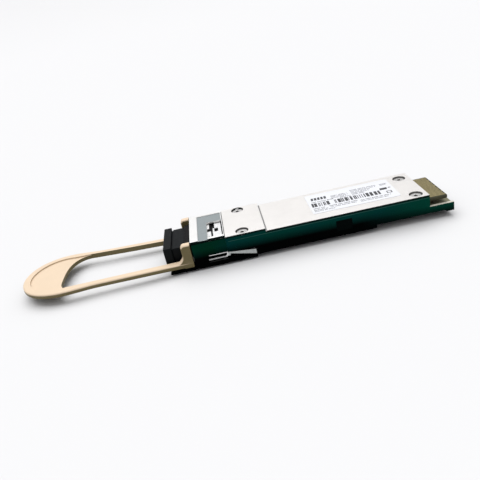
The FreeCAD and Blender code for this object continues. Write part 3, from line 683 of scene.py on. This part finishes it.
def wing_face(centre, normal):
    """Outer faces of the slider, in the side recesses."""
    return in_from_side(centre) < WING_REACH * MM and abs(normal.y) > 0.7


def arm_root_face(centre, normal):
    """Front of the slider's arms, as far as just inside the nose, darkened as painted shade."""
    return centre.x < ARM_ROOT_END


def socket_face(centre, normal):
    """Drive socket in a screw head, darkened as painted shade."""
    depth = depth_under_cover(centre) - SCREW_SINK * MM
    return within(depth, SOCKET_DEPTH) and head_distance(centre) < SOCKET_R * MM


def counterbore_face(centre, normal):
    """Wall and floor round a screw head, darkened as painted shade."""
    under = depth_under_cover(centre) > COUNTERBORE_TOP * MM
    return under and head_distance(centre) < COUNTERBORE_R * MM


def step_groove_face(centre, normal):
    """Groove across the plate where it steps down to the label deck, darkened as painted shade."""
    ahead_of_label = centre.x < LABEL_LOW[0] - GROOVE_CLEAR * MM
    behind_nose = centre.x > NOSE_HIGH[0] + GROOVE_CLEAR * MM
    off_screws = head_distance(centre) > COUNTERBORE_R * MM
    deep = within(LABEL_LOW[2] - centre.z, GROOVE_DEPTH)
    return ahead_of_label and behind_nose and off_screws and deep and normal.z > -0.2


def cover_edge_face(centre, normal):
    """Upright edges of the covers, along the sides, which take painted shade."""
    return abs(centre.y) > NOSE_HIGH[1] - COVER_EDGE * MM and abs(normal.y) > 0.6


def pad_wall_face(centre, normal):
    """Low wall between the rim of the tab and its thumb pad."""
    tip_x = TAB_LOW[0] + TAB_TIP_R * MM
    wall_end = tip_x + (PAD_WALL_FAR if centre.y > 0 else PAD_WALL_NEAR) * MM
    out = math.hypot(min(centre.x - tip_x, 0), centre.y)
    on_wall = abs(out - PAD_R * MM) < PAD_WALL_T * MM and centre.x < wall_end
    return on_wall and abs(normal.z) < 0.9 and centre.z > TAB_LOW[2] + PAD_WALL_LOW * MM


# --- print on the label, and the seams ---------------------------------------------
class Print:
    """Thin printed shapes on the label, placed from its lower left corner in mm."""

    def __init__(self):
        self.work = bmesh.new()
        self.turn = Matrix.Rotation(math.radians(PRINT_TURN), 3, "Z")
        self.middle = Vector(((LABEL_LOW[0] + LABEL_HIGH[0]) / 2, (LABEL_LOW[1] + LABEL_HIGH[1]) / 2, 0))

    def place(self, u, v, level):
        point = Vector((LABEL_LOW[0] + u * MM, LABEL_LOW[1] + v * MM, 0))
        point = self.middle + self.turn @ (point - self.middle)
        point.z = LABEL_HIGH[2] + level * MM
        return self.work.verts.new(point)

    def shape(self, outline):
        """Closed outline, raised off the film by the thickness of the ink."""
        base = [self.place(u, v, INK_GAP) for u, v in outline]
        top = [self.place(u, v, INK_T) for u, v in outline]
        self.work.faces.new(top)
        self.work.faces.new(list(reversed(base)))
        for i in range(len(outline)):
            j = (i + 1) % len(outline)
            self.work.faces.new((base[i], base[j], top[j], top[i]))

    def bar(self, u, v, width, height, lean=0.0):
        self.shape([(u, v), (u + width, v), (u + width + lean, v + height), (u + lean, v + height)])

    def ring(self, u, v, outer, inner, sides):
        """Outline of a mark with equal sides, made of one short block per side."""
        start = math.pi / sides
        for k in range(sides):
            a = start + 2 * math.pi * k / sides
            b = start + 2 * math.pi * (k + 1) / sides
            self.shape([(u + r * math.cos(t), v + r * math.sin(t))
                        for r, t in ((inner, a), (outer, a), (outer, b), (inner, b))])

    def line(self, u, v, length, draw):
        """A line of small blocks in groups, with no letters in it."""
        place = u
        while place < u + length:
            for _ in range(draw.randint(3, 8)):
                width = draw.uniform(*BLOCK_W)
                if place + width > u + length:
                    break
                self.bar(place, v, width, draw.choice(BLOCK_H))
                place += width + BLOCK_GAP
            place += GROUP_GAP

    def finish(self, name, material):
        finish_piece(piece_from(self.work, name), "module", material)


def bold_print(draw, material):
    """Five leaning blocks, a row of uneven bars, three marks and five lines of blocks."""
    bold = Print()
    for k in range(5):
        bold.bar(1.2 + 0.95 * k, 8.5, 0.68, 1.75, 0.12)
    place = 0.8
    while place < 20.6:
        width = draw.choice((0.2, 0.34, 0.6, 0.8))
        if not 6.0 < place < 7.2:
            bold.bar(place, 3.9, width, 2.6)
        place += width + draw.choice((0.12, 0.3, 0.42))
    bold.bar(20.9, 6.4, 2.1, 1.35, 0.2)
    bold.bar(23.5, 7.1, 0.7, 0.5)
    bold.ring(23.0, 4.4, 1.05, 0.68, 4)
    rows = ((1.1, 7.1, 6.9), (0.9, 2.6, 3.6), (5.4, 2.7, 8.0), (14.2, 2.4, 9.0), (0.9, 1.6, 4.0))
    for u, v, length in rows:
        bold.line(u, v, length, draw)
    bold.finish("label_print_bold", material)


def fine_print(draw, material):
    """Paler lines of blocks, in columns above the bars and in rows below them."""
    fine = Print()
    rows = (
        (7.1, 9.2, 5.2), (7.1, 8.4, 5.0), (7.1, 7.6, 4.4),
        (13.1, 10.5, 8.0), (13.1, 9.7, 7.4), (13.1, 8.9, 5.8), (13.1, 8.1, 5.2), (13.1, 7.3, 3.6),
        (21.9, 10.4, 2.2), (21.9, 9.7, 1.9), (9.4, 6.9, 3.2),
        (5.6, 1.8, 7.6), (0.9, 0.8, 6.0), (14.2, 1.5, 8.2),
    )
    for u, v, length in rows:
        fine.line(u, v, length, draw)
    fine.finish("label_print_fine", material)


def side_seams(materials):
    """Fine raised line along each side wall where the cover's skirt ends; its lighter teal is a painted
    highlight along the seam.
    """
    start = NOSE_HIGH[0] + SEAM_START * MM
    end = COVER_HIGH[0] - SEAM_END * MM
    size = Vector((end - start, SEAM_T * MM, SEAM_W * MM))
    work = bmesh.new()
    for side in (-1, 1):
        out = side * (HOUSING_HIGH[1] + SEAM_OUT * MM)
        middle = Vector(((start + end) / 2, out, LABEL_LOW[2] - SEAM_DROP * MM))
        box_matrix = Matrix.Translation(middle) @ Matrix.Diagonal((*size, 1))
        bmesh.ops.create_cube(work, size=1.0, matrix=box_matrix)
    finish_piece(piece_from(work, "side_seams"), "module", materials["seam"])


# node: (width of its broken edges in mm, further finishes with their face tests)
REFINED = {
    "cover_screws": (0.05, (("shade", socket_face),)),
    "lower_housing": (0.10, (("tray", tray_floor_face), ("edge_highlight", tray_wall_top),
                             ("ledge", ledge_face), ("side_rest", side_rest_face))),
    "top_cover": (0.08, (("ring", counterbore_face), ("groove", step_groove_face),
                         ("ledge", cover_edge_face))),
    "nose_cover": (0.07, (("recess", nose_recess_face), ("ledge", cover_edge_face))),
    "slider_frame": (0.05, (("wing", wing_face), ("shade", arm_root_face))),
    "port_receptacle": (0.08, ()),
    "label_sheet": (0.02, ()),
    "pull_tab": (0.34, (("pad_wall", pad_wall_face),)),
    "dust_plug": (0.10, ()),
}

make_camera()
make_lights()
make_floor()
bpy.context.scene.view_settings.view_transform = "Standard"
MATERIALS = make_materials()
for node_name, (edge_mm, further_finishes) in REFINED.items():
    finished = refined(node_name, edge_mm, MATERIALS)
    for finish_name, face_test in further_finishes:
        further_finish(finished, MATERIALS[finish_name], face_test)
print_draw = random.Random(7)
bold_print(print_draw, MATERIALS["ink"])
fine_print(print_draw, MATERIALS["fine_ink"])
side_seams(MATERIALS)
paint_nodes(MATERIALS, REFINED)
